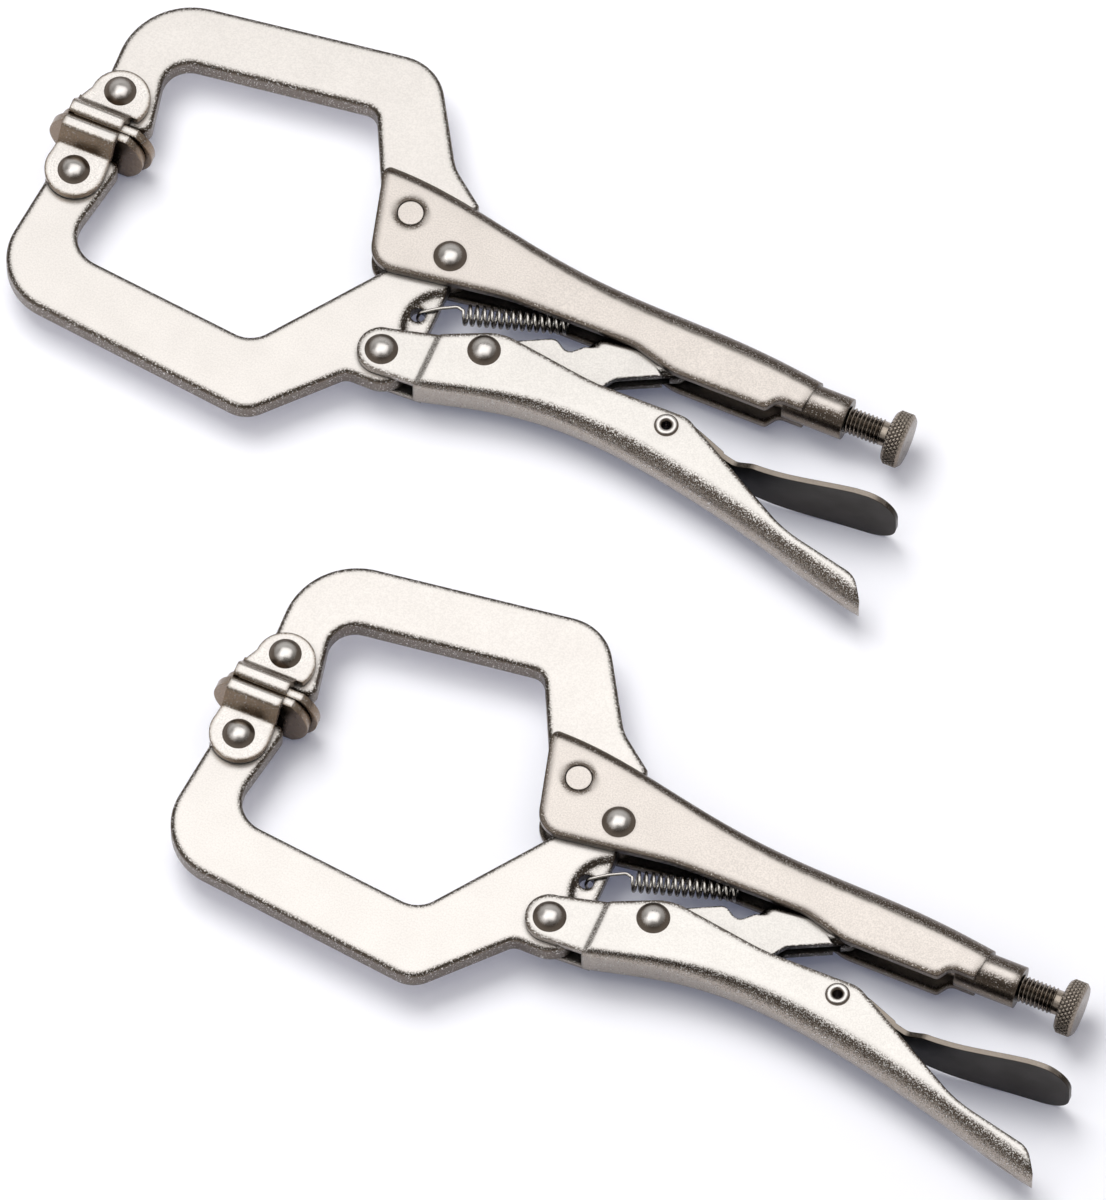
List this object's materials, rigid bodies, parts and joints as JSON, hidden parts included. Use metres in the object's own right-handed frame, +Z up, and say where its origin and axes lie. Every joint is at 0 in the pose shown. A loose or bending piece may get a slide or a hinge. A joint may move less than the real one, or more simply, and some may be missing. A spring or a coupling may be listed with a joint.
{
  "type": "locking C-clamp pair",
  "caption": "Locking C-clamps with swivel pads, toggle handles, release levers and knurled adjusting screws, lying closed on their sides side by side.",
  "frame": {"origin": "centre of the pair's bounding box, on the surface that both clamps lie on", "axes": "+X along the adjusting screws, from the jaws to the knurled heads; +Y from the moving jaw to the fixed jaw; +Z up, across the clamps' width"},
  "size_m": [0.389, 0.2676, 0.024],
  "materials": {
    "forged_jaw": "satin nickel plate over forged steel",
    "pressed_sheet": "satin nickel plate over pressed sheet steel",
    "pressed_pad": "satin nickel plate over folded sheet steel",
    "polished_rivet": "bright nickel plate",
    "turned_screw": "nickel plate over turned steel",
    "spring_wire": "drawn spring wire"
  },
  "bodies": {
    "held_halves": {"clamp_a_lower_handle": "pressed_sheet", "clamp_a_lower_handle_rivet": "polished_rivet", "clamp_a_toggle_rivet": "polished_rivet", "clamp_a_release_lever_rivet": "polished_rivet", "clamp_b_upper_handle": "pressed_sheet", "clamp_b_upper_jaw": "forged_jaw", "clamp_b_jaw_fixing_rivet": "polished_rivet", "clamp_b_jaw_pivot_rivet": "polished_rivet", "clamp_b_tension_spring": "spring_wire"},
    "clamp_a_upper_half": {"clamp_a_upper_handle": "pressed_sheet", "clamp_a_upper_jaw": "forged_jaw", "clamp_a_jaw_fixing_rivet": "polished_rivet", "clamp_a_jaw_pivot_rivet": "polished_rivet", "clamp_a_tension_spring": "spring_wire"},
    "clamp_a_lower_jaw": {"clamp_a_lower_jaw": "forged_jaw"},
    "clamp_a_toggle_link": {"clamp_a_toggle_link": "pressed_sheet"},
    "clamp_a_release_lever": {"clamp_a_release_lever": "pressed_sheet"},
    "clamp_a_adjusting_screw": {"clamp_a_adjusting_screw": "turned_screw"},
    "clamp_a_upper_pad": {"clamp_a_upper_pad": "pressed_pad", "clamp_a_upper_pad_rivet": "polished_rivet"},
    "clamp_a_lower_pad": {"clamp_a_lower_pad": "pressed_pad", "clamp_a_lower_pad_rivet": "polished_rivet"},
    "clamp_b_lower_handle": {"clamp_b_lower_handle": "pressed_sheet", "clamp_b_lower_handle_rivet": "polished_rivet", "clamp_b_toggle_rivet": "polished_rivet", "clamp_b_release_lever_rivet": "polished_rivet"},
    "clamp_b_lower_jaw": {"clamp_b_lower_jaw": "forged_jaw"},
    "clamp_b_toggle_link": {"clamp_b_toggle_link": "pressed_sheet"},
    "clamp_b_release_lever": {"clamp_b_release_lever": "pressed_sheet"},
    "clamp_b_adjusting_screw": {"clamp_b_adjusting_screw": "turned_screw"},
    "clamp_b_upper_pad": {"clamp_b_upper_pad": "pressed_pad", "clamp_b_upper_pad_rivet": "polished_rivet"},
    "clamp_b_lower_pad": {"clamp_b_lower_pad": "pressed_pad", "clamp_b_lower_pad_rivet": "polished_rivet"}
  },
  "joints": [
    {"name": "clamp_a_handle_swing", "type": "hinge", "parent": "held_halves", "child": "clamp_a_lower_jaw", "pos_m": [-0.07775, 0.04374, 0.012], "axis": [0, 0, 1], "range_deg": [0, 63.9]},
    {"name": "clamp_a_jaw_opening", "type": "hinge", "parent": "clamp_a_lower_jaw", "child": "clamp_a_upper_half", "pos_m": [-0.07135, 0.07864, 0.012], "axis": [0, 0, -1], "range_deg": [0, 22], "deforming": ["clamp_a_tension_spring"]},
    {"name": "clamp_a_toggle_fold", "type": "hinge", "parent": "held_halves", "child": "clamp_a_toggle_link", "pos_m": [-0.05035, 0.05464, 0.012], "axis": [0, 0, 1], "range_deg": [0, 68.3]},
    {"name": "clamp_a_release_press", "type": "hinge", "parent": "held_halves", "child": "clamp_a_release_lever", "pos_m": [0.00705, 0.05344, 0.012], "axis": [0, 0, 1], "range_deg": [-5, 0]},
    {"name": "clamp_a_screw_travel", "type": "slide", "parent": "clamp_a_upper_half", "child": "clamp_a_adjusting_screw", "axis": [1, 0, 0], "range_m": [0, 0.018]},
    {"name": "clamp_a_upper_pad_swivel", "type": "hinge", "parent": "clamp_a_upper_half", "child": "clamp_a_upper_pad", "pos_m": [-0.17955, 0.08939, 0.012], "axis": [0, 0, 1], "range_deg": [0, 11.1]},
    {"name": "clamp_a_lower_pad_swivel", "type": "hinge", "parent": "clamp_a_lower_jaw", "child": "clamp_a_lower_pad", "pos_m": [-0.18175, 0.06109, 0.012], "axis": [0, 0, 1], "range_deg": [-11.1, 0]},
    {"name": "clamp_b_jaw_opening", "type": "hinge", "parent": "held_halves", "child": "clamp_b_lower_jaw", "pos_m": [0.04375, -0.06656, 0.012], "axis": [0, 0, 1], "range_deg": [0, 30], "deforming": ["clamp_b_tension_spring"]},
    {"name": "clamp_b_handle_swing", "type": "hinge", "parent": "clamp_b_lower_jaw", "child": "clamp_b_lower_handle", "pos_m": [0.03735, -0.10146, 0.012], "axis": [0, 0, 1], "range_deg": [-87.1, 0]},
    {"name": "clamp_b_toggle_fold", "type": "hinge", "parent": "clamp_b_lower_handle", "child": "clamp_b_toggle_link", "pos_m": [0.06475, -0.09056, 0.012], "axis": [0, 0, 1], "range_deg": [0, 93.1]},
    {"name": "clamp_b_release_press", "type": "hinge", "parent": "clamp_b_lower_handle", "child": "clamp_b_release_lever", "pos_m": [0.12215, -0.09176, 0.012], "axis": [0, 0, 1], "range_deg": [-5, 0]},
    {"name": "clamp_b_screw_travel", "type": "slide", "parent": "held_halves", "child": "clamp_b_adjusting_screw", "axis": [1, 0, 0], "range_m": [0, 0.018]},
    {"name": "clamp_b_upper_pad_swivel", "type": "hinge", "parent": "held_halves", "child": "clamp_b_upper_pad", "pos_m": [-0.06445, -0.05581, 0.012], "axis": [0, 0, 1], "range_deg": [0, 15.1]},
    {"name": "clamp_b_lower_pad_swivel", "type": "hinge", "parent": "clamp_b_lower_jaw", "child": "clamp_b_lower_pad", "pos_m": [-0.06665, -0.08411, 0.012], "axis": [0, 0, 1], "range_deg": [-15.1, 0]}
  ],
  "couplings": [
    {"joint": "clamp_a_handle_swing", "follows": "clamp_a_jaw_opening", "ratio": 2.9},
    {"joint": "clamp_a_toggle_fold", "follows": "clamp_a_jaw_opening", "ratio": 3.1},
    {"joint": "clamp_a_upper_pad_swivel", "follows": "clamp_a_jaw_opening", "ratio": 0.5},
    {"joint": "clamp_a_lower_pad_swivel", "follows": "clamp_a_jaw_opening", "ratio": -0.5},
    {"joint": "clamp_b_handle_swing", "follows": "clamp_b_jaw_opening", "ratio": -2.9},
    {"joint": "clamp_b_toggle_fold", "follows": "clamp_b_jaw_opening", "ratio": 3.1},
    {"joint": "clamp_b_upper_pad_swivel", "follows": "clamp_b_jaw_opening", "ratio": 0.5},
    {"joint": "clamp_b_lower_pad_swivel", "follows": "clamp_b_jaw_opening", "ratio": -0.5}
  ]
}
